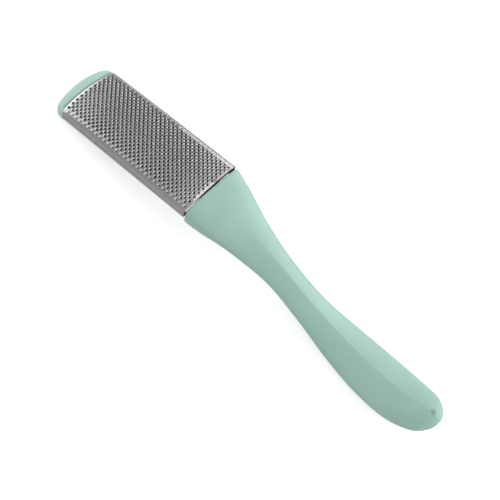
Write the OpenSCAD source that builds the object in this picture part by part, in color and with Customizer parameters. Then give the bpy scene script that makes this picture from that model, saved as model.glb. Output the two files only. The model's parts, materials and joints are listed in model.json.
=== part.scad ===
/* [Rasp sheet] */
// Length of the perforated sheet along the tool
sheet_len = 88.8; // [60:0.1:120]
// Width of the sheet over its two bent-down sides
sheet_w = 36.6; // [35:0.1:48]
// Depth from the crest of the face to the lower edge of the sides
sheet_depth = 8.8; // [8:0.1:12]
// Thickness of the steel
sheet_t = 0.5; // [0.4:0.05:0.6]
// Radius of the camber across the working face
camber_r = 70; // [60:1:140]
// Slope of the bevel that carries the outermost row of holes, degrees
bevel_slope = 16; // [14:1:24]
// Radius of the bend from a side into its lip
lip_bend = 0.9; // [0.8:0.1:1.4]
// Width of the lips that turn in under the carrier
lip_w = 3.2; // [2:0.1:5]
// Distance between the holes of one row
hole_pitch = 3; // [2.8:0.1:3.1]
// Diameter of a punched hole
hole_d = 1.2; // [1:0.05:1.25]
// Diameter of a raised cutting rim at the face
rim_d = 1.48; // [1.44:0.02:1.5]
// Height of a raised cutting rim over the face
rim_h = 0.3; // [0.2:0.05:0.5]
// Width of the sharp edge on top of a rim
rim_edge = 0.06; // [0.04:0.01:0.08]
// Steel left between the outermost holes and the ends of the sheet
end_margin = 1.5; // [1.2:0.1:4]

/* [Handle] */
// Length of the handle from the shoulder to the end, measured along the head
handle_len = 147.4; // [120:0.2:180]
// Drop of the handle's centreline from the shoulder to its lowest station
handle_drop = 48.8; // [36:0.2:56]
// How far the sides of the shoulder stand in from the sides of the sheet
shoulder_inset = 0.1; // [0:0.1:1]
// Width of the handle at the neck
neck_w = 17.4; // [16.6:0.1:22]
// Width of the handle at the grip
grip_w = 26.6; // [22:0.1:32]
// Thickness of the handle at the neck
neck_t = 10.6; // [10:0.1:13]
// Thickness of the handle at the grip
grip_t = 12.4; // [10.6:0.1:16]
// How far the shoulder stands over the crest of the sheet
shoulder_proud = 0.3; // [0.1:0.05:0.6]
// How far the back of the shoulder stands under the lips of the sheet
shoulder_under = 5; // [3:0.1:6]
// Radius of the shoulder's front edge
mouth_round = 1.6; // [0.6:0.1:1.8]
// Wall that closes the shoulder's mouth round the tang
face_wall = 2.4; // [2:0.1:3]
// Length over which the end of the handle rounds off
end_round = 10.2; // [7:0.1:14]
// Wall of the two handle shells
shell_wall = 2.2; // [1.8:0.1:2.4]
// Diameter of the shallow gate dimple near the end of the handle
dimple_d = 4.6; // [3:0.1:6]
// Depth of the gate dimple
dimple_depth = 0.7; // [0.3:0.05:1]

/* [Tip cap] */
// Length of the cap's upper side in front of the sheet, at its middle
cap_len = 7.5; // [5.6:0.1:12]
// How much further the middle of the cap's front stands out than its corners
cap_bow = 2.3; // [0.4:0.1:3]
// How much further the lower edge of its front stands out than the upper one
cap_foot = 1.1; // [0.2:0.1:2]
// Radius of the cap's upper edge
cap_round = 2.4; // [1:0.1:2.8]
// Radius of the cap's lower edge
cap_foot_round = 0.8; // [0.4:0.1:1.6]
// How far the cap's upper side lies under the crest of the sheet
cap_step = 0.6; // [0.2:0.05:0.65]
// How far the cap stands proud of the sheet's sides and lips
cap_proud = 0.3; // [0.1:0.05:0.6]
// Length of the spigot that plugs into the sheet
spigot_len = 5; // [3:0.1:8]

/* [Carrier] */
// Wall of the carrier's long sides
rail_t = 2.4; // [1.8:0.1:3.2]
// Thickness of the centre rib and of a cross rib
rib_t = 2; // [1.4:0.1:3]
// Depth of the tray for filings, under the crest of the carrier
tray_depth = 2.4; // [1.6:0.1:3]
// Thickness of the tray's floor, which carries the ribs
tray_floor_t = 1.8; // [1.2:0.1:2.4]
// Length of the solid block at each end of the carrier
block_len = 10; // [6:0.1:14]
// Width of the tang inside the handle
tang_w = 12; // [9:0.1:13]
// Thickness of the tang
tang_t = 4.6; // [3:0.1:4.8]
// Length of the tang along the head's direction
tang_len = 36; // [28:0.5:44]
// Diameter of the moulded pins that hold the tang
pin_d = 4; // [3:0.1:5]

/* [Clearances] */
// Gap between the end of the sheet and the shoulder
shoulder_gap = 0.6; // [0.3:0.05:1]
// Gap between the carrier's block and the shoulder, under the end of the sheet
heel_gap = 2.2; // [1.4:0.1:3]
// Clearance between the carrier and the sheet, the cap or the handle
seat_gap = 0.2; // [0.1:0.05:0.25]
// Clearance between the end of the sheet and the cap
cap_gap = 0.1; // [0.05:0.01:0.3]
// Clearance between a moulded pin and its hole in the tang
pin_gap = 0.15; // [0.1:0.05:0.3]
// Gap of the parting line between the two handle shells
parting_gap = 0.1; // [0.05:0.01:0.2]

/* [Hidden] */
// Sides of a round hole or pin, and the number of rings and points of the lofted shells
round_fn = 48;
rim_fn = 24;
ring_steps = 42;
mouth_steps = 4;
half_points = 20;
cap_points = 28;
edge_steps = 4;
// Bays between the ribs on each side of the carrier's back
bay_count = 4;
// One overrun serves every cut
overrun = 1;

// Stations along the handle, as shares of its length
station_shares = [0, 0.06, 0.18, 0.32, 0.46, 0.6, 0.74, 0.87, 1];
// Drop of the centreline at each station, as shares of handle_drop
drop_shares = [0, 0.09, 0.288, 0.482, 0.71, 0.878, 0.982, 1, 0.85];
// Size at each station: 0 is the shoulder's, 1 the neck's and 2 the grip's
width_shares = [0, 0.18, 0.65, 1, 1.06, 1.61, 2, 1.93, 1.02];
thick_shares = [0, 0.05, 0.4, 0.9, 1, 1.3, 1.8, 2, 1.3];
// Extra depth of the back shell at each station, as shares of shoulder_under
under_shares = [1, 1, 0.12, 0, 0, 0, 0, 0, 0];
// Forward lean of the shoulder's face, in degrees, and the share of the handle that it fades over
face_lean = -13;
lean_share = 0.15;
// Powers of the section's curve: low ones square it, and one over 1 raises the soft ridge
shoulder_power = 0.9;
floor_power = 0.2;
grip_power = 1;
ridge_power = 1.6;
back_power = 0.72;
ridge_share = 0.3;
// Place of the dimple along the handle and of the two pins along the tang
dimple_share = 0.978;
pin_shares = [0.4, 0.8];
// Power of the cap's front: a high one keeps its corners tight
corner_power = 14;

// Sizes of the sheet's section
half_w = sheet_w / 2;
row_step = hole_pitch / 2;
step_angle = row_step / camber_r * 180 / PI;
flat_rows = floor((half_w - 2 * row_step) / row_step);
bevel_start = [camber_r * sin(flat_rows * step_angle), camber_r * (cos(flat_rows * step_angle) - 1)];
bevel_end = bevel_start + row_step * [cos(bevel_slope), -sin(bevel_slope)];
side_bend = (half_w - bevel_end[0]) / (1 - sin(bevel_slope));
side_centre = [half_w - side_bend, bevel_end[1] - side_bend * cos(bevel_slope)];
lip_centre = [half_w - lip_bend, lip_bend - sheet_depth];
column_count = floor((sheet_len - 2 * end_margin) / row_step) + 1;
first_column = (sheet_len - (column_count - 1) * row_step) / 2;
sheet_end = -shoulder_gap;
sheet_tip = sheet_end - sheet_len;
inner_skin = sheet_t + seat_gap;
shoulder_w = sheet_w - 2 * shoulder_inset;
shoulder_t = sheet_depth + 2 * shoulder_proud;
shoulder_z = -sheet_depth / 2;
pin_stations = pin_shares * tang_len / handle_len;
lean_run = sheet_depth * tan(-face_lean);
face_share = face_wall / handle_len;
mouth_share = mouth_round / handle_len;
wall_share = shell_wall / handle_len;

function last(list) = list[len(list) - 1];
function backwards(list) = [for (i = [len(list) - 1 : -1 : 0]) list[i]];
function mirrored(list) = [for (p = list) [-p[0], p[1]]];
function flat(list) = [for (part = list, item = part) item];
function quad(a, b, c, d) = [[a, b, c], [a, c, d]];
function arc(centre, r, from, to) =
    [for (i = [0 : edge_steps]) let (a = from + (to - from) * i / edge_steps) centre + r * [sin(a), cos(a)]];

// One side of the sheet's section at a depth below its outer skin, from the crest to the foot of the side
function camber_point(k, depth) = [(camber_r - depth) * sin(k * step_angle),
    (camber_r - depth) * cos(k * step_angle) - camber_r];
function side_points(depth) = concat(
    [for (k = [1 : flat_rows]) camber_point(k, depth)],
    arc(side_centre, side_bend - depth, bevel_slope, 90),
    arc(lip_centre, lip_bend - depth, 90, 180));
function section(depth) = concat(backwards(mirrored(side_points(depth))), [camber_point(0, depth)],
    side_points(depth));

// A smooth curve through values given at shares of a length
function segment(shares, s) = max([for (k = [0 : len(shares) - 2]) shares[k] <= s ? k : 0]);
function rise(shares, v, k) = (v[k + 1] - v[k]) / (shares[k + 1] - shares[k]);
function tangent(shares, v, k) =
    k == 0 ? rise(shares, v, 0) :
    k == len(v) - 1 ? rise(shares, v, k - 1) :
    (rise(shares, v, k - 1) + rise(shares, v, k)) / 2;
function curve(shares, v, s) =
    let (k = segment(shares, s), h = shares[k + 1] - shares[k], u = (s - shares[k]) / h)
    (2 * u * u * u - 3 * u * u + 1) * v[k] + (u * u * u - 2 * u * u + u) * h * tangent(shares, v, k)
    + (3 * u * u - 2 * u * u * u) * v[k + 1] + (u * u * u - u * u) * h * tangent(shares, v, k + 1);
function between(sizes, k) =
    k < 1 ? sizes[0] + (sizes[1] - sizes[0]) * k : sizes[1] + (sizes[2] - sizes[1]) * (k - 1);
function eased(from, to, s) = from + (to - from) * min(s / ridge_share, 1);

// The handle's centreline and the size of its section at a share s of its length
widths = [for (k = width_shares) between([shoulder_w, neck_w, grip_w], k) / 2];
thicks = [for (k = thick_shares) between([shoulder_t, neck_t, grip_t], k) / 2];
function centre(s) = [s * handle_len - lean_run / 2,
    shoulder_z - handle_drop * curve(station_shares, drop_shares, s)];
function thick(s, side) = curve(station_shares, thicks, s)
    + (side > 0 ? 0 : shoulder_under * curve(station_shares, under_shares, s));
slope_step = 0.005;
function slope(s) =
    let (a = centre(max(s - slope_step, 0)), b = centre(min(s + slope_step, 1)))
    atan2(b[1] - a[1], b[0] - a[0]);
function lean(s) = s < lean_share ? face_lean + (slope(s) - face_lean) * s / lean_share : slope(s);
function end_scale(s, stop) =
    let (start = 1 - end_round / handle_len, u = (s - start) / (stop - start))
    u < 0 ? 1 : sqrt(max(1 - u * u, 0));
function power(x, p) = sign(x) * pow(abs(x), p);
// How far the rounded front edge of the shoulder draws the skin in at a station
function mouth_inset(s) =
    let (d = min(s * handle_len, mouth_round)) mouth_round - sqrt(d * (2 * mouth_round - d));
// A point of the skin at station s and angle a round the section, with inset as depth below the skin.
// side is 1 for the front shell and -1 for the back one.
function skin(s, a, inset, stop, side, lift) =
    let (
        y_power = side > 0 ? eased(shoulder_power, ridge_power, s) : eased(floor_power, back_power, s),
        z_power = side > 0 ? eased(shoulder_power, grip_power, s) : eased(floor_power, back_power, s),
        e = end_scale(s, stop),
        y = (curve(station_shares, widths, s) - inset) * e * power(cos(a), y_power),
        n = side * (lift + (thick(s, side) - inset) * e * power(sin(a), z_power)),
        c = centre(s), t = lean(s)
    )
    [c[0] - n * sin(t), y, c[1] + n * cos(t)];

function crest(s) = skin(s, 90, 0, 1, 1, parting_gap / 2);

// Stations of the rings: closer together at the rounded mouth and towards the rounded end
ring_shares = concat(
    [for (k = [0 : mouth_steps - 1]) mouth_share * (1 - cos(90 * k / mouth_steps))],
    [for (k = [0 : ring_steps]) let (u = k / ring_steps)
        mouth_share + (1 - mouth_share) * (u + sin(90 * u)) / 2]);
ring_count = len(ring_shares) - 1;
function outer_point(k, i, side) =
    let (s = ring_shares[k]) skin(s, 180 * i / half_points, mouth_inset(s), 1, side, parting_gap / 2);
function inner_point(k, i, side) =
    let (s = face_share + (1 - wall_share - face_share) * ring_shares[k])
    skin(s, 180 * i / half_points, shell_wall, 1 - wall_share, side, parting_gap / 2);
function shell_points(side) = concat(
    [for (k = [0 : ring_count - 1], inner = [0, 1], i = [0 : half_points])
        inner == 0 ? outer_point(k, i, side) : inner_point(k, i, side)],
    [outer_point(ring_count, 0, side), inner_point(ring_count, 0, side)]);
row_size = half_points + 1;
outer_apex = ring_count * 2 * row_size;
inner_apex = outer_apex + 1;
function outer(k, i) = k == ring_count ? outer_apex : k * 2 * row_size + i;
function inner(k, i) = k == ring_count ? inner_apex : k * 2 * row_size + row_size + i;
// Triangles of the front shell: its two skins with their ends, its parting faces and its mouth
shell_faces = concat(
    flat([for (k = [0 : ring_count - 2], i = [0 : half_points - 1])
        quad(outer(k, i), outer(k + 1, i), outer(k + 1, i + 1), outer(k, i + 1))]),
    flat([for (k = [0 : ring_count - 2], i = [0 : half_points - 1])
        quad(inner(k, i), inner(k, i + 1), inner(k + 1, i + 1), inner(k + 1, i))]),
    [for (i = [0 : half_points - 1]) [outer(ring_count - 1, i), outer_apex, outer(ring_count - 1, i + 1)]],
    [for (i = [0 : half_points - 1]) [inner(ring_count - 1, i), inner(ring_count - 1, i + 1), inner_apex]],
    flat([for (k = [0 : ring_count - 1]) quad(outer(k, 0), inner(k, 0), inner(k + 1, 0), outer(k + 1, 0))]),
    flat([for (k = [0 : ring_count - 1])
        quad(inner(k, half_points), outer(k, half_points),
            outer(k + 1, half_points), inner(k + 1, half_points))]),
    quad(outer(0, 0), outer(0, half_points), inner(0, half_points), inner(0, 0)),
    [for (i = [1 : half_points - 1]) [outer(0, 0), outer(0, i), outer(0, i + 1)]],
    [for (i = [1 : half_points - 1]) [inner(0, 0), inner(0, i + 1), inner(0, i)]]);

// The cap is a stack of layers between its flat back and its bowed front
cap_w = half_w + cap_proud;
function cap_top(y) = sqrt(camber_r * camber_r - y * y) - camber_r - cap_step;
cap_floor = -sheet_depth - cap_proud;
// Each layer as [1 for the upper edge or 0 for the lower one, inset, height over the edge's level]
cap_turns = [for (i = [0 : edge_steps]) 90 * i / edge_steps];
cap_layers = concat(
    [for (a = cap_turns) [0, cap_foot_round * (1 - sin(a)), cap_foot_round * (1 - cos(a))]],
    [for (a = backwards(cap_turns)) [1, cap_round * (1 - sin(a)), cap_round * (cos(a) - 1)]]);
function cap_point(layer, i, front) =
    let (
        t = sin(-90 + 180 * i / cap_points),
        y = (cap_w - layer[1]) * t,
        reach = cap_len - cap_bow * t * t - layer[1] + (1 - layer[0]) * cap_foot,
        x = front ? -reach * sqrt(1 - pow(abs(t), corner_power)) : 0,
        z = (layer[0] == 0 ? cap_floor : cap_top(y)) + layer[2]
    )
    [sheet_tip - cap_gap + x, y, z];
cap_row = cap_points + 1;
cap_solid_points = concat(
    [for (layer = cap_layers, i = [0 : cap_points]) cap_point(layer, i, true)],
    [for (layer = [cap_layers[0], last(cap_layers)], i = [0 : cap_points]) cap_point(layer, i, false)],
    [[sheet_tip - cap_gap, 0, cap_floor / 2]]);
layer_count = len(cap_layers);
function cap_front(j, i) = j * cap_row + i;
function cap_back(j, i) = (layer_count + j) * cap_row + i;
cap_middle = (layer_count + 2) * cap_row;
cap_faces = concat(
    flat([for (j = [0 : layer_count - 2], i = [0 : cap_points - 1])
        quad(cap_front(j, i), cap_front(j, i + 1), cap_front(j + 1, i + 1), cap_front(j + 1, i))]),
    flat([for (i = [1 : cap_points - 2])
        quad(cap_front(0, i), cap_back(0, i), cap_back(0, i + 1), cap_front(0, i + 1))]),
    [[cap_front(0, 0), cap_back(0, 1), cap_front(0, 1)],
        [cap_front(0, cap_points), cap_front(0, cap_points - 1), cap_back(0, cap_points - 1)]],
    flat([for (i = [1 : cap_points - 2])
        quad(cap_front(layer_count - 1, i), cap_front(layer_count - 1, i + 1),
            cap_back(1, i + 1), cap_back(1, i))]),
    [[cap_front(layer_count - 1, 0), cap_front(layer_count - 1, 1), cap_back(1, 1)],
        [cap_front(layer_count - 1, cap_points), cap_back(1, cap_points - 1),
            cap_front(layer_count - 1, cap_points - 1)]],
    [for (j = [0 : layer_count - 2]) [cap_middle, cap_front(j, 0), cap_front(j + 1, 0)]],
    [for (j = [0 : layer_count - 2]) [cap_middle, cap_front(j + 1, cap_points), cap_front(j, cap_points)]],
    [for (i = [0 : cap_points - 1]) [cap_middle,
        i == cap_points - 1 ? cap_front(0, cap_points) : cap_back(0, i + 1),
        i == 0 ? cap_front(0, 0) : cap_back(0, i)]],
    [for (i = [0 : cap_points - 1]) [cap_middle,
        i == 0 ? cap_front(layer_count - 1, 0) : cap_back(1, i),
        i == cap_points - 1 ? cap_front(layer_count - 1, cap_points) : cap_back(1, i + 1)]]);

// How the tool lies on a table: on the tip of the cap and on the belly of the grip
toe = [sheet_tip - cap_gap - cap_len - cap_foot + cap_foot_round, cap_floor];
function belly(s) = let (p = skin(s, 90, 0, 1, -1, parting_gap / 2)) [p[0], p[2]];
function climb(p) = atan2(p[1] - toe[1], p[0] - toe[0]);
rest_angle = min([for (k = [1 : ring_count]) climb(belly(ring_shares[k]))]);
function turned(p) = [p[0] * cos(rest_angle) + p[1] * sin(rest_angle),
    p[1] * cos(rest_angle) - p[0] * sin(rest_angle)];
all_turned = [for (p = concat(cap_solid_points, shell_points(1), shell_points(-1))) turned([p[0], p[2]])];
low_x = min([for (p = all_turned) p[0]]);
high_x = max([for (p = all_turned) p[0]]);
low_z = min([for (p = all_turned) p[1]]);

module laid_down() {
    translate([-(low_x + high_x) / 2, 0, -low_z]) rotate([0, rest_angle, 0]) children();
}

// Everything behind the leaning plane through the crest at x
module behind_face(x) {
    translate([x, 0, 0]) rotate([0, -face_lean, 0])
        translate([0, -sheet_w, -2 * sheet_depth]) cube([2 * sheet_depth, 2 * sheet_w, 4 * sheet_depth]);
}

module along_head(from, to) {
    translate([from, 0, 0]) rotate([90, 0, 90]) linear_extrude(to - from) children();
}

// Places its children on the face at a row: the rows beside the crest are 0 and -1
module on_row(row) {
    side = row < 0 ? -1 : 1;
    k = row < 0 ? -1 - row : row;
    bevel = (bevel_start + bevel_end) / 2;
    a = k < flat_rows ? (k + 0.5) * step_angle : bevel_slope;
    flat_r = camber_r * cos(step_angle / 2);
    place = k < flat_rows ? [flat_r * sin(a), flat_r * cos(a) - camber_r] : bevel;
    translate([0, side * place[0], place[1]]) rotate([-side * a, 0, 0]) children();
}

module each_hole() {
    for (row = [-flat_rows - 1 : flat_rows]) {
        odd = abs(row) % 2;
        for (x = [first_column + (1 - odd) * row_step : hole_pitch : sheet_len - first_column + row_step / 2])
            on_row(row) translate([sheet_end - x, 0, 0]) children();
    }
}

module rasp_sheet() {
    lip = [[half_w - lip_w, -sheet_depth + sheet_t], [half_w - lip_w, -sheet_depth]];
    band = concat(mirrored([lip[1]]), section(0), [lip[1], lip[0]], backwards(section(sheet_t)),
        mirrored([lip[0]]));
    rim_top = hole_d + 2 * rim_edge;
    rim_foot = rim_d + (rim_d - rim_top) * sheet_t / rim_h / 2;
    color([0.72, 0.71, 0.7]) laid_down() difference() {
        union() {
            along_head(sheet_tip, sheet_end + lean_run) polygon(band);
            each_hole() translate([0, 0, -sheet_t / 2])
                cylinder(d1 = rim_foot, d2 = rim_top, h = rim_h + sheet_t / 2, $fn = rim_fn);
        }
        each_hole() translate([0, 0, -sheet_t - overrun])
            cylinder(d = hole_d, h = sheet_t + rim_h + 2 * overrun, $fn = rim_fn);
        behind_face(sheet_end);
    }
}

// The tang's side view at a thickness, from inside the carrier's block down the handle
function tang_outline(t) =
    let (steps = 6, ends = [[-heel_gap - block_len / 2, shoulder_z + t / 2],
            [-heel_gap - block_len / 2, shoulder_z - t / 2]],
        shares = [for (k = [0 : steps]) k / steps * tang_len / handle_len])
    concat([ends[0]], [for (s = shares) centre(s) + t / 2 * [-sin(lean(s)), cos(lean(s))]],
        backwards([for (s = shares) centre(s) - t / 2 * [-sin(lean(s)), cos(lean(s))]]), [ends[1]]);

module tang(t, w) {
    rotate([90, 0, 0]) translate([0, 0, -w / 2]) linear_extrude(w) polygon(tang_outline(t));
}

module head_carrier() {
    carrier_tip = sheet_tip + spigot_len + seat_gap;
    bay_from = carrier_tip + block_len;
    bay_to = -heel_gap - block_len - lean_run;
    bay_step = (bay_to - bay_from + rib_t) / bay_count;
    bay_w = half_w - inner_skin - rail_t - rib_t / 2;
    bay_depth = sheet_depth - inner_skin - tray_depth - tray_floor_t;
    tray_w = 2 * bay_w + rib_t;
    foot_w = half_w - lip_w - seat_gap;
    color([0.14, 0.15, 0.15]) laid_down() difference() {
        union() {
            difference() {
                along_head(carrier_tip, 0) union() {
                    polygon(section(inner_skin));
                    translate([-foot_w, -sheet_depth]) square([2 * foot_w, sheet_depth / 2]);
                }
                behind_face(-heel_gap);
                translate([bay_from, -tray_w / 2, -inner_skin - tray_depth])
                    cube([bay_to - bay_from, tray_w, tray_depth + overrun]);
                for (k = [0 : bay_count - 1], y = [rib_t / 2, -rib_t / 2 - bay_w])
                    translate([bay_from + k * bay_step, y, -sheet_depth - overrun])
                        cube([bay_step - rib_t, bay_w, bay_depth + overrun]);
            }
            tang(tang_t, tang_w);
        }
        for (s = pin_stations)
            at_station(s) cylinder(d = pin_d + 2 * pin_gap, h = grip_t, center = true, $fn = round_fn);
    }
}

module at_station(s) {
    c = centre(s);
    translate([c[0], 0, c[1]]) rotate([0, -lean(s), 0]) children();
}

module handle_shell(side) {
    difference() {
        polyhedron(points = shell_points(side),
            faces = side > 0 ? shell_faces : [for (f = shell_faces) backwards(f)]);
        tang(tang_t + 2 * seat_gap, tang_w + 2 * seat_gap);
    }
}

module handle_front_shell() {
    dimple_r = (dimple_d * dimple_d / 4 + dimple_depth * dimple_depth) / (2 * dimple_depth);
    top = crest(dimple_share);
    before = crest(dimple_share - slope_step);
    after = crest(dimple_share + slope_step);
    t = atan2(after[2] - before[2], after[0] - before[0]);
    color([0.64, 0.82, 0.76]) laid_down() difference() {
        handle_shell(1);
        translate(top + (dimple_r - dimple_depth) * [-sin(t), 0, cos(t)])
            sphere(r = dimple_r, $fn = round_fn);
    }
}

module handle_back_shell() {
    color([0.64, 0.82, 0.76]) laid_down() union() {
        handle_shell(-1);
        for (s = pin_stations) {
            reach = thick(s, 1) - shell_wall - seat_gap;
            root = thick(s, -1) - shell_wall / 2;
            at_station(s) translate([0, 0, -root]) cylinder(d = pin_d, h = root + reach, $fn = round_fn);
        }
    }
}

module tip_cap() {
    color([0.67, 0.86, 0.8]) laid_down() union() {
        polyhedron(points = cap_solid_points, faces = cap_faces);
        along_head(sheet_tip - cap_gap - cap_len / 4, sheet_tip + spigot_len) polygon(section(inner_skin));
    }
}

handle_front_shell();
handle_back_shell();
head_carrier();
rasp_sheet();
tip_cap();
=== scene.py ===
import json
import math

import bmesh
import bpy
import numpy as np
from mathutils import Matrix, Vector


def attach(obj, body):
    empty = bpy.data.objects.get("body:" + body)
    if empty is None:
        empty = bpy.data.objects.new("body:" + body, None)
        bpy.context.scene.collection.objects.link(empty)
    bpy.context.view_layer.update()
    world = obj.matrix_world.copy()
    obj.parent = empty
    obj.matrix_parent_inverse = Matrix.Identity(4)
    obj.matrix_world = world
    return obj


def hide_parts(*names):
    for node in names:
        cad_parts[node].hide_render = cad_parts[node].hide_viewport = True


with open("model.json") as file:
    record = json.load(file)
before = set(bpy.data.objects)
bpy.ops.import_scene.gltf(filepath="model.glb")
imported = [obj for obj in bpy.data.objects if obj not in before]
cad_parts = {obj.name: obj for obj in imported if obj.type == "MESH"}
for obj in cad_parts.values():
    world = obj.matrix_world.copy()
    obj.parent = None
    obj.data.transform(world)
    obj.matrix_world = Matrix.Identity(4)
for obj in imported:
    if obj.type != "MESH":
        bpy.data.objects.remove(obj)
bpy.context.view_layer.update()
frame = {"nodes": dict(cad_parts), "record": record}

# Every size below is in millimetres unless its name says otherwise. MM turns it into metres.
MM = 0.001
RANDOM_SEED = 7

# Sizes of the rasp sheet, the same as the CAD's
SHEET_LEN = 88.8
SHEET_HALF = 18.3
SHEET_DEPTH = 8.8
SHEET_T = 0.5
CAMBER_R = 70
BEVEL_SLOPE = math.radians(16)
LIP_BEND = 0.9
LIP_W = 3.2
PITCH = 3
ROW = PITCH / 2
FLAT_ROWS = 10
HOLE_R = 0.6
SHOULDER_GAP = 0.6
FACE_LEAN = math.radians(-13)

# Sizes of the tip cap, the same as the CAD's. The root of its spigot lies inside the cap.
CAP_LEN = 7.5
CAP_BOW = 2.3
CAP_FOOT = 1.1
CAP_ROUND = 2.4
CAP_FOOT_ROUND = 0.8
CAP_STEP = 0.6
CAP_PROUD = 0.3
CAP_GAP = 0.1
CORNER_POWER = 14
SPIGOT_LEN = 5
SPIGOT_ROOT = 1
SEAT_GAP = 0.2

# Sizes of the handle, the same as the CAD's. WIDTHS and THICKS are those of the shoulder, the neck
# and the grip.
HANDLE_LEN = 147.4
HANDLE_DROP = 48.8
SHOULDER_UNDER = 5
SHOULDER_Z = -4.4
FACE_BACK = SHEET_DEPTH / 2 * math.tan(-FACE_LEAN)
FACE_WALL = 2.4
MOUTH_ROUND = 1.6
WIDTHS = (36.4, 17.4, 26.6)
THICKS = (9.4, 10.6, 12.4)
END_ROUND = 10.2
SHELL_WALL = 2.2
PARTING_GAP = 0.1
DIMPLE_R = 2.3
DIMPLE_DEPTH = 0.7
DIMPLE_SHARE = 0.978
# Where the handle's stations stand along it, and for each the share of its drop, its width and
# thickness (0 is the shoulder's, 1 the neck's and 2 the grip's) and the share of SHOULDER_UNDER
STATION_SHARES = (0, 0.06, 0.18, 0.32, 0.46, 0.6, 0.74, 0.87, 1)
DROP_SHARES = (0, 0.09, 0.288, 0.482, 0.71, 0.878, 0.982, 1, 0.85)
WIDTH_SHARES = (0, 0.18, 0.65, 1, 1.06, 1.61, 2, 1.93, 1.02)
THICK_SHARES = (0, 0.05, 0.4, 0.9, 1, 1.3, 1.8, 2, 1.3)
UNDER_SHARES = (1, 1, 0.12, 0, 0, 0, 0, 0, 0)
LEAN_SHARE = 0.15
# Powers of the section's curve: low ones square it, and one over 1 raises the soft ridge. The
# shoulder has SHOULDER_POWER in front and FLOOR_POWER behind, and they ease into GRIP_POWER with
# RIDGE_POWER in front and BACK_POWER behind up to RIDGE_SHARE of the length.
SHOULDER_POWER = 0.9
FLOOR_POWER = 0.2
GRIP_POWER = 1
RIDGE_POWER = 1.6
BACK_POWER = 0.72
RIDGE_SHARE = 0.3

# The head's own frame stands on the mount on its back: x runs along the head from the shoulder,
# y across it and z up from the crest of the sheet. The mount lies at MOUNT_X in it.
MOUNT_X = -9.2
mount = frame["record"]["mounts"][0]
HEAD_UP = -Vector(mount["axis"]).normalized()
HEAD_ACROSS = Vector((0, 1, 0))
HEAD_ALONG = HEAD_ACROSS.cross(HEAD_UP)
HEAD_AXES = np.array([HEAD_ALONG, HEAD_ACROSS, HEAD_UP])
HEAD_ORIGIN = np.array(mount["pos_m"]) - np.array([MOUNT_X, 0, -SHEET_DEPTH]) @ HEAD_AXES * MM


def placed(points):
    """Points of the head's frame in millimetres, as points of the part's frame in metres."""
    return HEAD_ORIGIN + np.asarray(points, float) @ HEAD_AXES * MM


# The camera, fitted to the photograph's lattice of holes and given in the head's frame
CAMERA_PLACE = (190.0, -174.75, 372.63)
CAMERA_RIGHT = (0.72702, 0.68659, 0)
CAMERA_DOWN = (0.58961, -0.62432, -0.51240)
SENSOR_MM = 36
FOCAL_MM = 68.03


def make_camera():
    data = bpy.data.cameras.new("camera")
    data.sensor_width = SENSOR_MM
    data.lens = FOCAL_MM
    camera = bpy.data.objects.new("camera", data)
    right = Vector(np.array(CAMERA_RIGHT) @ HEAD_AXES).normalized()
    up = -Vector(np.array(CAMERA_DOWN) @ HEAD_AXES).normalized()
    back = right.cross(up).normalized()
    up = back.cross(right)
    turn = Matrix((right, up, back)).transposed()
    camera.matrix_world = Matrix.Translation(placed(CAMERA_PLACE)) @ turn.to_4x4()
    bpy.context.scene.collection.objects.link(camera)
    bpy.context.scene.camera = camera


make_camera()


# Points nearer than MERGE_GAP become one, and edges shorter than SLIVER dissolve
MERGE_GAP = 0.002
SLIVER = 0.0005


class Piece:
    """Gathers grids and faces of points in millimetres and turns them into one smooth mesh."""

    def __init__(self):
        self.points = []
        self.faces = []
        self.tones = []
        self.count = 0

    def add_points(self, points, tone=0.0):
        """Adds points with a tone of painted shade and highlight, from -2 (dark) to 2 (bright).
        Gives the first one's number.
        """
        points = np.asarray(points, float).reshape(-1, 3)
        start = self.count
        self.points.append(points)
        self.tones.append(np.broadcast_to(np.asarray(tone, float).ravel(), (len(points),)))
        self.count += len(points)
        return start

    def add_grid(self, points, wrap=False, tone=0.0):
        """Adds points of the shape rows, columns, 3. wrap joins the last column to the first."""
        rows, columns = points.shape[:2]
        start = self.add_points(points, tone)
        at = start + np.arange(rows * columns).reshape(rows, columns)
        if wrap:
            at = np.concatenate([at, at[:, :1]], axis=1)
        quads = np.stack([at[:-1, :-1], at[1:, :-1], at[1:, 1:], at[:-1, 1:]], axis=-1)
        self.faces.extend(quads.reshape(-1, 4).tolist())

    def add_fan(self, centre, ring):
        start = self.add_points([centre, *ring])
        for i in range(len(ring) - 1):
            self.faces.append([start, start + 1 + i, start + 2 + i])

    def build(self, name, material, node):
        mesh = bpy.data.meshes.new(name)
        mesh.from_pydata(placed(np.concatenate(self.points)).tolist(), [], self.faces)
        tones = mesh.attributes.new("tone", "FLOAT", "POINT")
        tones.data.foreach_set("value", np.concatenate(self.tones).astype(np.float32))
        work = bmesh.new()
        work.from_mesh(mesh)
        bmesh.ops.remove_doubles(work, verts=work.verts, dist=MERGE_GAP * MM)
        bmesh.ops.dissolve_degenerate(work, edges=work.edges, dist=SLIVER * MM)
        bmesh.ops.recalc_face_normals(work, faces=work.faces)
        work.to_mesh(mesh)
        work.free()
        for polygon in mesh.polygons:
            polygon.use_smooth = True
        piece = bpy.data.objects.new(name, mesh)
        bpy.context.scene.collection.objects.link(piece)
        mesh.materials.append(material)
        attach(piece, "root")
        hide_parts(node)
        return piece


def smoothstep(x):
    x = np.clip(x, 0, 1)
    return x * x * (3 - 2 * x)


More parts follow.
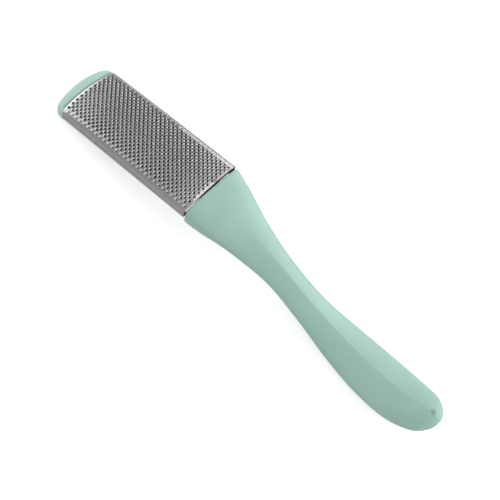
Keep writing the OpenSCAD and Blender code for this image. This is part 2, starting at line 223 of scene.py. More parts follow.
# The section of the sheet, measured as a length s along its outer skin from the crest
BEVEL_FROM = FLAT_ROWS * ROW
BEVEL_TO = BEVEL_FROM + ROW
camber_end = BEVEL_FROM / CAMBER_R
bevel_start = np.array([CAMBER_R * math.sin(camber_end), CAMBER_R * (math.cos(camber_end) - 1)])
bevel_end = bevel_start + ROW * np.array([math.cos(BEVEL_SLOPE), -math.sin(BEVEL_SLOPE)])
SIDE_BEND = (SHEET_HALF - bevel_end[0]) / (1 - math.sin(BEVEL_SLOPE))
side_centre = (SHEET_HALF - SIDE_BEND, bevel_end[1] - SIDE_BEND * math.cos(BEVEL_SLOPE))
lip_centre = (SHEET_HALF - LIP_BEND, LIP_BEND - SHEET_DEPTH)
SIDE_FROM = BEVEL_TO + SIDE_BEND * (math.pi / 2 - BEVEL_SLOPE)
SIDE_TO = SIDE_FROM + side_centre[1] - lip_centre[1]
LIP_FROM = SIDE_TO + LIP_BEND * math.pi / 2
LIP_TO = LIP_FROM + lip_centre[0] - SHEET_HALF + LIP_W


def section(s, height):
    """y and z of the point at length s round the section and at a height over the outer skin."""
    a = np.abs(s)
    parts = [a < BEVEL_FROM, a < BEVEL_TO, a < SIDE_FROM, a < SIDE_TO, a < LIP_FROM]
    turns = np.select(parts, [
        a / CAMBER_R,
        BEVEL_SLOPE + 0 * a,
        BEVEL_SLOPE + (a - BEVEL_TO) / SIDE_BEND,
        math.pi / 2 + 0 * a,
        math.pi / 2 + (a - SIDE_TO) / LIP_BEND,
    ], math.pi)
    sin, cos = np.sin(turns), np.cos(turns)
    along = a - BEVEL_FROM
    y = np.select(parts, [
        CAMBER_R * sin,
        bevel_start[0] + along * math.cos(BEVEL_SLOPE),
        side_centre[0] + SIDE_BEND * sin,
        SHEET_HALF + 0 * a,
        lip_centre[0] + LIP_BEND * sin,
    ], lip_centre[0] - (a - LIP_FROM))
    z = np.select(parts, [
        CAMBER_R * (cos - 1),
        bevel_start[1] - along * math.sin(BEVEL_SLOPE),
        side_centre[1] + SIDE_BEND * cos,
        side_centre[1] - (a - SIDE_FROM),
        lip_centre[1] + LIP_BEND * cos,
    ], -SHEET_DEPTH)
    return np.sign(s) * (y + height * sin), z + height * cos


# How the real sheet departs from its plain section, as depths and the lengths that they ease over.
# The shoulder end leans back towards the lips
LEAN_RAMP = 8
# It is a little askew, and has a fine burr from BURR_FROM on the near side to the far side
SKEW = 0.022
SKEW_RAMP = 3
END_BURR = 0.1
END_BURR_LEN = 0.8
BURR_FROM = -14
BURR_RAMP = 4
# The tip end bows out, bends down a little and rolls down at the very edge
TIP_BOW = 0.4
TIP_BOW_LEN = 2.5
TIP_BEND = 0.28
TIP_BEND_LEN = 18
TIP_ROLL = 0.28
TIP_ROLL_LEN = 1.9
# The far bevel is bent a little steeper next to the shoulder
TWIST = 0.22
TWIST_TO = 36
TWIST_RAMP = 5


def sheet_points(d, s, height):
    """Points of the sheet at a distance d from its shoulder end and a length s round it."""
    d, s, height = np.broadcast_arrays(d, s, height)
    y, z = section(s, height)
    lean = -z * math.tan(-FACE_LEAN) * (1 - smoothstep(d / LEAN_RAMP))
    skew = SKEW * y * (1 - smoothstep(d / SKEW_RAMP))
    bow = TIP_BOW * smoothstep((d - SHEET_LEN + TIP_BOW_LEN) / TIP_BOW_LEN)
    bow = bow * (1 - (y / SHEET_HALF) ** 2)
    drop = -END_BURR * np.clip(1 - d / END_BURR_LEN, 0, 1) ** 2
    drop = drop * smoothstep((s - BURR_FROM) / BURR_RAMP)
    for depth, length in ((TIP_ROLL, TIP_ROLL_LEN), (TIP_BEND, TIP_BEND_LEN)):
        drop = drop + depth * np.clip(1 - (SHEET_LEN - d) / length, 0, 1) ** 2
    twist = TWIST * (1 - smoothstep((d - TWIST_TO) / TWIST_RAMP))
    drop = drop + twist * np.interp(s, (BEVEL_FROM, BEVEL_TO, SIDE_FROM), (0, 1, 0))
    drop = drop * (z > -SHEET_DEPTH / 2)
    return np.stack([-SHOULDER_GAP - d - lean - skew - bow, y, z - drop], axis=-1)


# Each hole sits in a diamond-shaped cell of the sheet, and the cells meet side to side
SPOKES = 24
COLUMNS = int((SHEET_LEN - PITCH) // ROW) + 1
FIRST_COLUMN = (SHEET_LEN - (COLUMNS - 1) * ROW) / 2
LATTICE_LOW = FIRST_COLUMN - ROW
LATTICE_HIGH = FIRST_COLUMN + COLUMNS * ROW
LATTICE_SIDE = BEVEL_TO + ROW / 2
# Rings of a rim from its foot over its cutting edge into the hole, as (radius, height, tone).
# Their tone is a painted highlight on the cutting edge and painted shade at the hole's lip.
RIM_RINGS = (
    (1.04, 0, 0), (0.99, 0.022, 0), (0.93, 0.06, 0), (0.87, 0.105, 0), (0.81, 0.15, 0.05),
    (0.76, 0.19, 0.1), (0.715, 0.225, 0.2), (0.68, 0.25, 0.3), (0.65, 0.26, 0.2),
    (0.62, 0.245, -0.3),
)
# The hole's walls and the steel round its back are painted dark, as painted shade
HOLE_RINGS = (
    (HOLE_R, 0.18, -0.9), (HOLE_R, 0.02, -1), (HOLE_R, -0.42, -1),
    (0.65, -SHEET_T, -1), (0.85, -SHEET_T, -0.6),
)
# The back skin is painted darker, as painted shade under the sheet
BACK_TONE = -0.5
# The rims vary in height and tilt. They are worn lower where the tone by place is under FRESH_TONE
RIM_SPREAD = 0.06
RIM_TILT = 0.015
RIM_WEAR = 0.22
FRESH_TONE = 0.5
# The outermost rows lie on the bevels, where the bending tool pressed their rims nearly flat and
# their holes nearly shut. Their rings are smaller and lie further out, and their painted shade is
# less dark.
BEVEL_RIM = 0.35
BEVEL_SHARE = 0.55
BEVEL_OUT = 0.45
BEVEL_TONE = -0.8
# Rings with a lower tone than this are inside a hole's painted shade, where the painted highlight
# by place doesn't reach
HOLE_TONE = -0.2
# Points along the plain margins, and over each bend and each flat from the lattice to the lips
MARGIN_POINTS = 7
BEND_POINTS = 9
FLAT_POINTS = 4
# A point this far outside the lattice still counts as inside it
PLACE_SLACK = 1e-6

# Painted highlights on the steel: it is painted brighter near the tip, most of all on the near
# side, at the far corner of the shoulder end and along that end. Each slope starts at its first
# place and is full at its second.
TIP_TONE, TIP_SLOPE = 0.55, (68, 86)
TIP_FAR_SHARE, TIP_FAR_SLOPE = 0.75, (-8, 12)
CORNER_TONE, CORNER_SLOPE, CORNER_FAR_SLOPE = 0.3, (26, 4), (1, 13)
END_TONE, END_SLOPE = 0.45, (20, 2)
# Painted highlights in strips, as (tone, from, to and ramp along the sheet, from, to and ramp
# across it): two on the shoulder end, one on the far bevel and one at the near corner of the tip
GLINTS = (
    (2, (-1, 1.4, 0.8), (-10, 1.5, 1.5)),
    (0.8, (-1, 1.4, 0.8), (5, 13, 2)),
    (1.5, (-9, 33, 5), (15.5, 16.6, 0.6)),
    (1.7, (86.5, 99, 1), (-17.4, -16.6, 0.6)),
)
# The near side is painted bright as a painted highlight, and the far side dark as painted shade
NEAR_TONE, NEAR_SIDE = 0.45, -17.5
FAR_TONE, FAR_SLOPE = -1.7, (17, 17.4)


def slope(x, start, full):
    """A smooth slope from nought at start to one at full."""
    return smoothstep((x - start) / (full - start))


def within(x, low, high, ramp):
    """One between low and high, falling to nought over a ramp on either side."""
    return slope(x, low - ramp, low) * slope(x, high + ramp, high)


def brightness(d, s):
    """The sheet's painted highlight and painted shade at a place."""
    tone = TIP_TONE * slope(d, *TIP_SLOPE) * (1 - TIP_FAR_SHARE * slope(s, *TIP_FAR_SLOPE))
    tone = tone + CORNER_TONE * slope(d, *CORNER_SLOPE) * slope(s, *CORNER_FAR_SLOPE)
    tone = tone + END_TONE * slope(d, *END_SLOPE)
    for strength, along, across in GLINTS:
        tone = tone + strength * within(d, *along) * within(s, *across)
    tone = np.where(s < NEAR_SIDE, np.maximum(tone, NEAR_TONE), tone)
    return tone + FAR_TONE * slope(s, *FAR_SLOPE)


def diamond(spoke):
    """A point of the cell's edge for each spoke, as shares of the row step."""
    corners = ((1, 0), (0, 1), (-1, 0), (0, -1), (1, 0))
    side, t = divmod(spoke, SPOKES // 4)
    t = t / (SPOKES // 4)
    a, b = corners[side], corners[side + 1]
    return a[0] + (b[0] - a[0]) * t, a[1] + (b[1] - a[1]) * t


def cell_rings():
    """The plan, heights and tones of a cell's rings, from its edge over the rim to its back."""
    angles = 2 * math.pi * np.arange(SPOKES) / SPOKES
    circle = np.stack([np.cos(angles), np.sin(angles)], axis=-1)
    radii, heights, tones = np.array(RIM_RINGS + HOLE_RINGS).T
    edge = CELL_EDGE[None]
    plan = np.concatenate([edge, radii[:, None, None] * circle, edge])
    heights = np.array([0, *heights, -SHEET_T])[:, None]
    tones = np.array([0, *tones, BACK_TONE])[:, None]
    return plan, heights, tones


CELL_EDGE = np.array([diamond(k) for k in range(SPOKES)]) * ROW
CELL_PLAN, CELL_HEIGHTS, CELL_TONES = cell_rings()
PRESSED_PLAN = CELL_PLAN.copy()
PRESSED_PLAN[1:-1] = CELL_PLAN[1:-1] * BEVEL_SHARE + (0, BEVEL_OUT)


def add_hole(piece, random, d, s):
    """A cell with its hole and raised rim."""
    lift = 1 + RIM_SPREAD * random.uniform(-1, 1)
    plan, tones = CELL_PLAN, CELL_TONES
    if abs(s) > BEVEL_FROM:
        lift = lift * BEVEL_RIM
        plan = PRESSED_PLAN * (1, math.copysign(1, s))
        tones = np.maximum(CELL_TONES, BEVEL_TONE)
    lift = lift * (1 - RIM_WEAR * (1 - min(brightness(d, s) / FRESH_TONE, 1)))
    tilt = RIM_TILT * random.uniform(-1, 1, 2)
    raised = CELL_HEIGHTS * (lift + CELL_PLAN @ tilt)
    along, across = d + plan[..., 0], s + plan[..., 1]
    tones = tones + (tones > HOLE_TONE) * brightness(along, across)
    points = sheet_points(along, across, np.where(CELL_HEIGHTS > 0, raised, CELL_HEIGHTS))
    piece.add_grid(points, wrap=True, tone=tones)


def add_flat_cell(piece, d, s):
    """The part inside the lattice of a cell on its border, without a hole, on both skins."""
    ring = np.concatenate([CELL_EDGE, CELL_EDGE[:1]]) + (d, s)
    low = (LATTICE_LOW - PLACE_SLACK, -LATTICE_SIDE - PLACE_SLACK)
    high = (LATTICE_HIGH + PLACE_SLACK, LATTICE_SIDE + PLACE_SLACK)
    inside = np.all((ring >= low) & (ring <= high), axis=1)
    for i in range(SPOKES):
        if inside[i] and inside[i + 1]:
            along, across = np.array([(d, s), ring[i], ring[i + 1]]).T
            for level in (0, -SHEET_T):
                points = sheet_points(along, across, level)
                start = piece.add_points(points, brightness(along, across))
                piece.faces.append([start, start + 1, start + 2])


def add_margins(piece):
    """The plain margins round the lattice, the sides, the lips and the sheet's cut edges."""
    spans = (
        (LATTICE_SIDE, SIDE_FROM, BEND_POINTS), (SIDE_FROM, SIDE_TO, FLAT_POINTS),
        (SIDE_TO, LIP_FROM, BEND_POINTS), (LIP_FROM, LIP_TO, FLAT_POINTS))
    steps = np.concatenate([[LATTICE_SIDE], *[np.linspace(*span)[1:] for span in spans]])
    rows = np.arange(-FLAT_ROWS - 0.5, FLAT_ROWS + 1) * ROW
    across = np.concatenate([-steps[::-1], rows, steps])
    along = LATTICE_LOW + ROW * np.arange(COLUMNS + 2)
    shoulder_margin = np.linspace(0, LATTICE_LOW, MARGIN_POINTS)
    tip_margin = np.linspace(LATTICE_HIGH, SHEET_LEN, MARGIN_POINTS)
    areas = [(along, -steps), (along, steps), (shoulder_margin, across), (tip_margin, across)]
    for level in (0, -SHEET_T):
        for d, s in areas:
            d, s = d[:, None], s[None]
            piece.add_grid(sheet_points(d, s, level), tone=brightness(d, s))
    levels = np.array([0, -SHEET_T])[:, None]
    for end in (0, SHEET_LEN):
        piece.add_grid(sheet_points(end, across[None], levels))
    length = np.concatenate([shoulder_margin[:-1], along, tip_margin[1:]])
    for sign in (-1, 1):
        piece.add_grid(sheet_points(length[None], sign * LIP_TO, levels))


def make_rasp_sheet(material):
    """The perforated sheet: cells in staggered rows, and the plain margins round them."""
    piece = Piece()
    random = np.random.default_rng(RANDOM_SEED)
    for row in range(-FLAT_ROWS - 2, FLAT_ROWS + 2):
        for column in range(-1, COLUMNS + 1):
            if (row + column) % 2 == 0:
                continue
            d, s = FIRST_COLUMN + column * ROW, (row + 0.5) * ROW
            if -FLAT_ROWS - 2 < row < FLAT_ROWS + 1 and -1 < column < COLUMNS:
                add_hole(piece, random, d, s)
            else:
                add_flat_cell(piece, d, s)
    add_margins(piece)
    return piece.build("rasp_face", material, "rasp_sheet")


# The cap: a bowed front with tight corners, rounded above and below, under the sheet's camber
CAP_STEPS = 120
CAP_ROUND_STEPS = 10
CAP_TOP_STEPS = 24
SPIGOT_RINGS = 8
SPIGOT_STEPS = 96
# The cap's top dips into a soft channel along the end of the sheet, darkened by painted shade
JOINT_W = 2.2
JOINT_DEPTH = 0.35
MIN_JOINT_W = 0.01


def add_spigot(piece):
    """The plug on the cap's back, which follows the end of the sheet from inside."""
    d = np.linspace(SHEET_LEN - SPIGOT_LEN, SHEET_LEN, SPIGOT_RINGS + 1)
    s = np.linspace(-LIP_FROM, LIP_FROM, SPIGOT_STEPS + 1)
    rows = sheet_points(d[:, None], s[None], -SHEET_T - SEAT_GAP)
    rows = np.concatenate([rows, rows[-1:] - (SPIGOT_ROOT, 0, 0)])
    # Its upper half is painted dark, as painted shade under the sheet's holes
    piece.add_grid(rows, wrap=True, tone=-1.0 * (rows[..., 2] > -SHEET_DEPTH / 2))
    for row in (rows[0], rows[-1]):
        piece.add_fan(row.mean(axis=0), [*row, row[0]])


def make_tip_cap(material):
    """The cap, as rows from its foot over its front to its top, closed above, below and behind."""
    piece = Piece()
    back = -SHOULDER_GAP - SHEET_LEN - CAP_GAP
    half = SHEET_HALF + CAP_PROUD
    floor = -SHEET_DEPTH - CAP_PROUD
    t = np.sin(np.linspace(-math.pi / 2, math.pi / 2, CAP_STEPS + 1))
    corner = np.sqrt(1 - np.abs(t) ** CORNER_POWER)
    turns = np.linspace(0, math.pi / 2, CAP_ROUND_STEPS + 1)

    def top(y):
        return np.sqrt(CAMBER_R ** 2 - y ** 2) - CAMBER_R - CAP_STEP

    def lower(turn):
        inset = CAP_FOOT_ROUND * (1 - math.sin(turn))
        y = (half - inset) * t
        x = back - (CAP_LEN - CAP_BOW * t * t - inset + CAP_FOOT) * corner
        return np.stack([x, y, floor + CAP_FOOT_ROUND * (1 - math.cos(turn)) + 0 * y], axis=-1)

    def upper(turn):
        inset = CAP_ROUND * (1 - math.sin(turn))
        y = (half - inset) * t
        x = back - (CAP_LEN - CAP_BOW * t * t - inset) * corner
        return np.stack([x, y, top(y) - CAP_ROUND * (1 - math.cos(turn))], axis=-1)

    rows = np.array([lower(turn) for turn in turns] + [upper(turn) for turn in turns[::-1]])
    piece.add_grid(rows)
    shares = np.sqrt(np.linspace(0, 1, CAP_TOP_STEPS + 1))[:, None]
    centre = np.array([back, 0, floor / 2])
    for row, depth in ((rows[0], 0), (rows[-1], JOINT_DEPTH)):
        reach = back - row[:, 0]
        x = row[:, 0] + reach * shares
        joint_w = np.clip(reach, MIN_JOINT_W, JOINT_W)
        joint = 1 - smoothstep((back - x) / joint_w)
        z = row[:, 2] - depth * corner * joint
        y = np.broadcast_to(row[:, 1], x.shape)
        piece.add_grid(np.stack([x, y, z], axis=-1), tone=-joint * corner * (depth > 0))
        piece.add_fan(centre, np.stack([x[-1], y[-1], z[-1]], axis=-1))
    for edge in (rows[:, 0], rows[:, -1]):
        piece.add_fan(centre, edge)
    add_spigot(piece)
    return piece.build("tip_end_cap", material, "tip_cap")


# The handle: sections on a smooth centreline, with the front and the back shell as halves
RINGS = 420
HALF_STEPS = 96
MOUTH_STEPS = 9
SLOPE_STEP = 0.005
# The dimple is darkened with painted shade, most at its middle
DIMPLE_TONE = -0.38


def station_curve(values, s):
    """A smooth curve through values at the stations, at the shares s of the handle's length."""
    shares, values = np.array(STATION_SHARES, float), np.array(values, float)
    rises = np.diff(values) / np.diff(shares)
    tangents = np.concatenate([rises[:1], (rises[:-1] + rises[1:]) / 2, rises[-1:]])
    k = np.clip(np.searchsorted(shares, s, side="right") - 1, 0, len(shares) - 2)
    h = shares[k + 1] - shares[k]
    u = (s - shares[k]) / h
    return ((2 * u ** 3 - 3 * u ** 2 + 1) * values[k] + (u ** 3 - 2 * u ** 2 + u) * h * tangents[k]
            + (3 * u ** 2 - 2 * u ** 3) * values[k + 1] + (u ** 3 - u ** 2) * h * tangents[k + 1])


def sized(shares, sizes):
    """Half sizes at the stations: share 0 is the shoulder's, 1 the neck's and 2 the grip's."""
    return np.interp(shares, (0, 1, 2), sizes) / 2


def centreline(s):
    return s * HANDLE_LEN - FACE_BACK, SHOULDER_Z - HANDLE_DROP * station_curve(DROP_SHARES, s)


def lean_angle(s):
    """The angle of a section at a share s of the length: the shoulder face's, then the curve's."""
    x0, z0 = centreline(np.maximum(s - SLOPE_STEP, 0))
    x1, z1 = centreline(np.minimum(s + SLOPE_STEP, 1))
    lean = np.arctan2(z1 - z0, x1 - x0)
    return np.where(s < LEAN_SHARE, FACE_LEAN + (lean - FACE_LEAN) * s / LEAN_SHARE, lean)


def eased(start, end, s):
    """Goes from start at the shoulder to end at RIDGE_SHARE of the length."""
    return start + (end - start) * np.minimum(s / RIDGE_SHARE, 1)


def power(x, p):
    return np.sign(x) * np.abs(x) ** p


def skin(s, a, inset, stop, side, lift):
    """Points of one half of the handle at a share s of its length and an angle a round it.

    They lie inset below the skin. The half ends at the share stop, is raised by lift from the
    parting plane, and is the front one where side is 1 and the back one where it is -1."""
    start = 1 - END_ROUND / HANDLE_LEN
    u = (s - start) / (stop - start)
    end = np.where(u < 0, 1, np.sqrt(np.maximum(1 - u * u, 0)))
    front = side > 0
    shoulder_power = SHOULDER_POWER if front else FLOOR_POWER
    y_power = eased(shoulder_power, RIDGE_POWER if front else BACK_POWER, s)
    z_power = eased(shoulder_power, GRIP_POWER if front else BACK_POWER, s)
    width = station_curve(sized(WIDTH_SHARES, WIDTHS), s)
    thick = station_curve(sized(THICK_SHARES, THICKS), s)
    if not front:
        thick = thick + SHOULDER_UNDER * station_curve(UNDER_SHARES, s)
    y = (width - inset) * end * power(np.cos(a), y_power)
    n = side * (lift + (thick - inset) * end * power(np.sin(a), z_power))
    x, z = centreline(s)
    t = lean_angle(s)
    return np.stack(np.broadcast_arrays(x - n * np.sin(t), y, z + n * np.cos(t)), axis=-1)


def dimpled(points):
    """Presses the dimple into the front shell's skin. Gives the root of its depth's share too."""
    near = DIMPLE_SHARE + SLOPE_STEP * np.array([-1, 0, 1])
    before, centre, after = skin(near, math.pi / 2, 0, 1, 1, PARTING_GAP / 2)
    run = (after - before) / np.linalg.norm(after - before)
    normal = np.array([-run[2], 0, run[0]])
    reach = np.linalg.norm(points - centre, axis=-1)
    share = 1 - smoothstep(reach / DIMPLE_R)
    return points - DIMPLE_DEPTH * share[..., None] * normal, np.sqrt(share)


def mouth_inset(s):
    """How far the rounded front edge of the shoulder draws the skin in at a station."""
    d = np.minimum(s * HANDLE_LEN, MOUTH_ROUND)
    return MOUTH_ROUND - np.sqrt(d * (2 * MOUTH_ROUND - d))


def make_shell(name, node, side, material):
    """The front shell (side 1) or the back shell (side -1) of the hollow handle."""
    piece = Piece()
    mouth_end = MOUTH_ROUND / HANDLE_LEN
    mouth = mouth_end * (1 - np.cos(np.linspace(0, math.pi / 2, MOUTH_STEPS)[:-1]))
    u = np.arange(RINGS) / RINGS
    body = mouth_end + (1 - mouth_end) * (u + np.sin(math.pi / 2 * u)) / 2
    shares = np.concatenate([mouth, body])[:, None]
    lift = PARTING_GAP / 2
    a = np.linspace(0, math.pi, HALF_STEPS + 1)[None]
    outer = skin(shares, a, mouth_inset(shares), 1, side, lift)
    share = np.zeros(outer.shape[:2])
    if side > 0:
        outer, share = dimpled(outer)
    wall, face = SHELL_WALL / HANDLE_LEN, FACE_WALL / HANDLE_LEN
    inner_shares = face + (1 - wall - face) * shares
    inner = skin(inner_shares, a, SHELL_WALL, 1 - wall, side, lift)
    piece.add_grid(outer, tone=DIMPLE_TONE * share)
    piece.add_grid(inner)
    for column in (0, -1):
        piece.add_grid(np.stack([outer[:, column], inner[:, column]]))
    tip = skin(1, 0, 0, 1, side, lift)
    inner_tip = skin(1 - wall, 0, SHELL_WALL, 1 - wall, side, lift)
    piece.add_fan(tip, outer[-1])
    piece.add_fan(inner_tip, inner[-1])
    for ring in (outer[0], inner[0]):
        piece.add_fan((ring[0] + ring[-1]) / 2, ring)
    start = piece.add_points([outer[0, 0], outer[0, -1], inner[0, -1], inner[0, 0]])
    piece.faces.append([start, start + 1, start + 2, start + 3])
    for column in (0, -1):
        start = piece.add_points([outer[-1, column], inner[-1, column], inner_tip, tip])
        piece.faces.append([start, start + 1, start + 2, start + 3])
    return piece.build(name, material, node)


# The span that most of a noise node's values lie in
NOISE_SPAN = (0.3, 0.7)


class Nodes:
    """A material's node tree, with short calls for adding and linking nodes."""

    def __init__(self, name):
        self.material = bpy.data.materials.new(name)
        self.material.use_nodes = True
        self.tree = self.material.node_tree
        self.shader = self.tree.nodes["Principled BSDF"]

    def add(self, kind, **values):
        node = self.tree.nodes.new(kind)
        for key, value in values.items():
            setattr(node, key, value)
        return node

    def link(self, source, target):
        self.tree.links.new(source, target)

    def noise(self, scale, detail, stretch=(1, 1, 1)):
        """Noise in the part's own coordinates. scale is in cycles for each metre."""
        place = self.add("ShaderNodeTexCoord")
        mapping = self.add("ShaderNodeMapping")
        mapping.inputs["Scale"].default_value = stretch
        noise = self.add("ShaderNodeTexNoise")
        noise.inputs["Scale"].default_value = scale
        noise.inputs["Detail"].default_value = detail
        self.link(place.outputs["Object"], mapping.inputs["Vector"])
        self.link(mapping.outputs["Vector"], noise.inputs["Vector"])
        return noise.outputs["Fac"]

    def ramp(self, source, stops):
        """A colour for a value, from stops of (place, colour)."""
        ramp = self.add("ShaderNodeValToRGB")
        elements = ramp.color_ramp.elements
        for element, (place, colour) in zip(elements, (stops[0], stops[-1])):
            element.position = place
            element.color = (*colour, 1)
        for place, colour in stops[1:-1]:
            elements.new(place).color = (*colour, 1)
        self.link(source, ramp.inputs["Fac"])
        return ramp.outputs["Color"]

    def mapped(self, source, start, stop, low=0.0, high=1.0):
        """Maps a value from the range of start and stop to that of low and high."""
        node = self.add("ShaderNodeMapRange")
        sizes = {"From Min": start, "From Max": stop, "To Min": low, "To Max": high}
        for name, value in sizes.items():
            node.inputs[name].default_value = value
        self.link(source, node.inputs["Value"])
        return node.outputs["Result"]

    def spread(self, source, low, high):
        """Maps a noise value to a range for a roughness."""
        return self.mapped(source, *NOISE_SPAN, low, high)

    def tone(self):
        """The tone that the mesh carries."""
        return self.add("ShaderNodeAttribute", attribute_name="tone").outputs["Fac"]

    def bump(self, source, distance, below=None):
        """A bump of a depth in metres, over the bump below."""
        bump = self.add("ShaderNodeBump")
        bump.inputs["Distance"].default_value = distance
        bump.inputs["Strength"].default_value = 1
        self.link(source, bump.inputs["Height"])
        if below is not None:
            self.link(below, bump.inputs["Normal"])
        return bump.outputs["Normal"]


def shade(colour, factor):
    return tuple(c * factor for c in colour)


MINT = (0.4, 0.635, 0.537)
# The cap's mint is the handle's painted lighter, a painted highlight for the light on the cap
CAP_MINT = (0.515, 0.77, 0.69)
CORE = (0.11, 0.115, 0.11)
STEEL = (0.42, 0.416, 0.409)
EDGE_STEEL = (0.53, 0.525, 0.52)
HOLE_STEEL = (0.36, 0.36, 0.36)
DARK_STEEL = (0.1, 0.1, 0.1)
BRIGHT_STEEL = (0.9, 0.895, 0.89)

# Plastic: a faint cloudy mottle as (place in the noise, share of the colour), slow waves and a
# fine grain of the surface, the share of the colour that is left under full painted shade, and
# roughness
CLOUD_SCALE = 35
CLOUD_STOPS = ((0.35, 0.97), (0.65, 1.03))
WAVE_SCALE = 55
WAVE_DEPTH_M = 0.0001
GRAIN_SCALE = 5200
GRAIN_DEPTH_M = 0.000006
GRAIN_ROUGHNESS = 0.03
PLASTIC_IOR = 1.49
PAINTED_SHADE_SHARE = 0.4
MINT_ROUGHNESS = 0.4
CAP_ROUGHNESS = 0.36
CORE_ROUGHNESS = 0.5
# Places of a colour Mix node's factor, its two colours and its result among its sockets
MIX_FACTOR, MIX_A, MIX_B, MIX_RESULT = 0, 6, 7, 2


def make_plastic(name, colour, roughness):
    """Satin plastic with a faint mottle, darkened by painted shade where the mesh's tone is below
    nought.
    """
    nodes = Nodes(name)
    cloud = nodes.noise(CLOUD_SCALE, detail=2)
    mottle = nodes.ramp(cloud, [(place, shade(colour, share)) for place, share in CLOUD_STOPS])
    mixed = nodes.add("ShaderNodeMix", data_type="RGBA")
    mixed.inputs[MIX_A].default_value = (*shade(colour, PAINTED_SHADE_SHARE), 1)
    nodes.link(nodes.mapped(nodes.tone(), -1, 0), mixed.inputs[MIX_FACTOR])
    nodes.link(mottle, mixed.inputs[MIX_B])
    nodes.link(mixed.outputs[MIX_RESULT], nodes.shader.inputs["Base Color"])
    waves = nodes.bump(nodes.noise(WAVE_SCALE, detail=1), WAVE_DEPTH_M)
    grain = nodes.noise(GRAIN_SCALE, detail=2)
    nodes.link(nodes.bump(grain, GRAIN_DEPTH_M, below=waves), nodes.shader.inputs["Normal"])
    rough = nodes.spread(grain, roughness - GRAIN_ROUGHNESS, roughness + GRAIN_ROUGHNESS)
    nodes.link(rough, nodes.shader.inputs["Roughness"])
    nodes.shader.inputs["IOR"].default_value = PLASTIC_IOR
    return nodes.material


# Steel: its colour at each tone, which paints its highlights and shade, its roughness and the
# brushed lines along the sheet. The further the tone is from nought, the rougher it is.
TONE_SPAN = 2
STEEL_TONES = (
    (-TONE_SPAN, DARK_STEEL), (-1, HOLE_STEEL), (-0.1, shade(STEEL, 0.8)), (0, STEEL),
    (0.5, shade(STEEL, 1.2)), (1, EDGE_STEEL), (TONE_SPAN, BRIGHT_STEEL),
)
STEEL_ROUGHNESS = (0.25, 0.33)
TONE_ROUGHNESS = 0.2
BRUSH_SCALE = 260
BRUSH_STRETCH = (0.25, 6, 6)
BRUSH_DEPTH_M = 0.000008


def make_steel(name):
    """Brushed steel, with its colour and roughness by the mesh's tone of painted highlight and
    shade.
    """
    nodes = Nodes(name)
    tone = nodes.tone()
    stops = [((t + TONE_SPAN) / (2 * TONE_SPAN), colour) for t, colour in STEEL_TONES]
    colour = nodes.ramp(nodes.mapped(tone, -TONE_SPAN, TONE_SPAN), stops)
    nodes.link(colour, nodes.shader.inputs["Base Color"])
    nodes.shader.inputs["Metallic"].default_value = 1
    brush = nodes.noise(BRUSH_SCALE, detail=4, stretch=BRUSH_STRETCH)
    size = nodes.add("ShaderNodeMath", operation="ABSOLUTE")
    nodes.link(tone, size.inputs[0])
    worn = nodes.add("ShaderNodeMath", operation="MULTIPLY_ADD", use_clamp=True)
    nodes.link(size.outputs["Value"], worn.inputs[0])
    worn.inputs[1].default_value = TONE_ROUGHNESS
    nodes.link(nodes.spread(brush, *STEEL_ROUGHNESS), worn.inputs[2])
    nodes.link(worn.outputs["Value"], nodes.shader.inputs["Roughness"])
    nodes.link(nodes.bump(brush, BRUSH_DEPTH_M), nodes.shader.inputs["Normal"])
    return nodes.material


mint = make_plastic("mint_plastic", MINT, MINT_ROUGHNESS)
cap_mint = make_plastic("cap_plastic", CAP_MINT, CAP_ROUGHNESS)
core = make_plastic("core_plastic", CORE, CORE_ROUGHNESS)
steel = make_steel("rasp_steel")

make_rasp_sheet(steel)
make_tip_cap(cap_mint)
make_shell("grip_front_shell", "handle_front_shell", 1, mint)
make_shell("grip_back_shell", "handle_back_shell", -1, mint)

carrier = frame["nodes"]["head_carrier"]
carrier.data.materials.clear()
carrier.data.materials.append(core)

# One pale sheet is the floor and the backdrop. The camera sees a faint glow on it, so that the
# floor is white apart from the object's shadow.
FLOOR_SIZE_M = 6
FLOOR_COLOUR = (0.8, 0.8, 0.8)
FLOOR_ROUGHNESS = 0.9
FLOOR_GLOW = 0.57


def make_floor():
    mesh = bpy.data.meshes.new("floor")
    half = FLOOR_SIZE_M / 2
    corners = [(-half, -half, 0), (half, -half, 0), (half, half, 0), (-half, half, 0)]
    mesh.from_pydata(corners, [], [(0, 1, 2, 3)])
    floor = bpy.data.objects.new("floor", mesh)
    bpy.context.scene.collection.objects.link(floor)
    nodes = Nodes("floor")
    nodes.shader.inputs["Base Color"].default_value = (*FLOOR_COLOUR, 1)
    nodes.shader.inputs["Roughness"].default_value = FLOOR_ROUGHNESS
    nodes.shader.inputs["Specular IOR Level"].default_value = 0
    nodes.shader.inputs["Emission Color"].default_value = (1, 1, 1, 1)
    path = nodes.add("ShaderNodeLightPath")
    glow = nodes.add("ShaderNodeMath", operation="MULTIPLY")
    glow.inputs[1].default_value = FLOOR_GLOW
    nodes.link(path.outputs["Is Camera Ray"], glow.inputs[0])
    nodes.link(glow.outputs["Value"], nodes.shader.inputs["Emission Strength"])
    mesh.materials.append(nodes.material)


# The studio round the object: a plain grey with soft white panels, as (direction in the head's
# frame, cosines where the panel starts and is full, strength)
STUDIO_LEVEL = 0.12
PANELS = (
    ((-0.78, 0.0, 0.62), 0.955, 0.99, 2.60),
    ((-0.8, -0.15, 0.58), 0.8, 0.97, 0.55),
    ((-0.47, 0.85, 0.23), 0.975, 0.995, 2.70),
    ((0.4, 0.9, 0.2), 0.85, 0.97, 3.0),
    ((0.1, -0.1, 1.0), 0.8, 0.96, 0.12),
    ((0.8, 0.3, 0.52), 0.85, 0.97, 1.53),
    ((-0.97, 0.2, 0.15), 0.85, 0.97, 3.02),
    ((0.0, -0.8, 0.6), 0.75, 0.95, 0.46),
    ((0.88, -0.4, 0.2), 0.85, 0.97, 1.62),
)


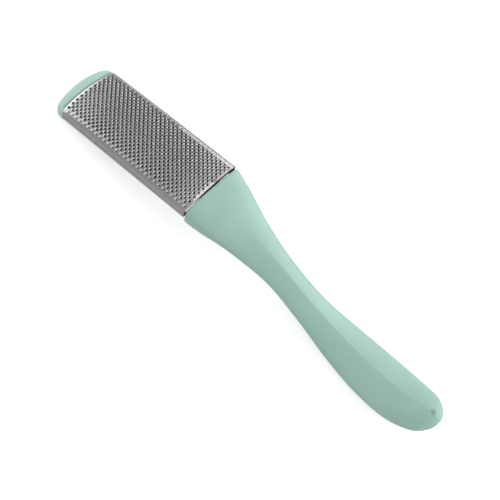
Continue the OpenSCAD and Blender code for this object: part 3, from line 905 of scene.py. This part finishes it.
def make_world():
    """Adds the panels up for every ray but the camera's, which sees plain white."""
    world = bpy.data.worlds.new("studio")
    bpy.context.scene.world = world
    world.use_nodes = True
    tree = world.node_tree
    background = tree.nodes["Background"]
    place = tree.nodes.new("ShaderNodeTexCoord")
    level = None
    for direction, start, full, strength in PANELS:
        dot = tree.nodes.new("ShaderNodeVectorMath")
        dot.operation = "DOT_PRODUCT"
        dot.inputs[1].default_value = Vector(np.array(direction) @ HEAD_AXES).normalized()
        tree.links.new(place.outputs["Generated"], dot.inputs[0])
        panel = tree.nodes.new("ShaderNodeMapRange")
        panel.interpolation_type = "SMOOTHSTEP"
        panel.inputs["From Min"].default_value = start
        panel.inputs["From Max"].default_value = full
        panel.inputs["To Max"].default_value = strength
        tree.links.new(dot.outputs["Value"], panel.inputs["Value"])
        total = tree.nodes.new("ShaderNodeMath")
        total.inputs[1].default_value = STUDIO_LEVEL
        tree.links.new(panel.outputs["Result"], total.inputs[0])
        if level is not None:
            tree.links.new(level, total.inputs[1])
        level = total.outputs["Value"]
    path = tree.nodes.new("ShaderNodeLightPath")
    seen = tree.nodes.new("ShaderNodeMath")
    seen.operation = "MAXIMUM"
    tree.links.new(path.outputs["Is Camera Ray"], seen.inputs[0])
    tree.links.new(path.outputs["Is Transmission Ray"], seen.inputs[1])
    choice = tree.nodes.new("ShaderNodeMapRange")
    tree.links.new(seen.outputs["Value"], choice.inputs["Value"])
    tree.links.new(level, choice.inputs["To Min"])
    tree.links.new(choice.outputs["Result"], background.inputs["Strength"])
    background.inputs["Color"].default_value = (1, 1, 1, 1)


# One weak square lamp behind the object casts the soft shadow on the near side
LAMP_PLACE_M = (0.05, 0.75, 0.6)
LAMP_SIZE_M = 0.7
LAMP_WATTS = 0.5


def make_lamp():
    data = bpy.data.lights.new("key_lamp", "AREA")
    data.shape = "SQUARE"
    data.size = LAMP_SIZE_M
    data.energy = LAMP_WATTS
    lamp = bpy.data.objects.new("key_lamp", data)
    lamp.location = LAMP_PLACE_M
    lamp.rotation_mode = "QUATERNION"
    lamp.rotation_quaternion = (-Vector(LAMP_PLACE_M)).to_track_quat("-Z", "Y")
    bpy.context.scene.collection.objects.link(lamp)


make_floor()
make_world()
make_lamp()

bpy.context.scene.view_settings.view_transform = "Standard"
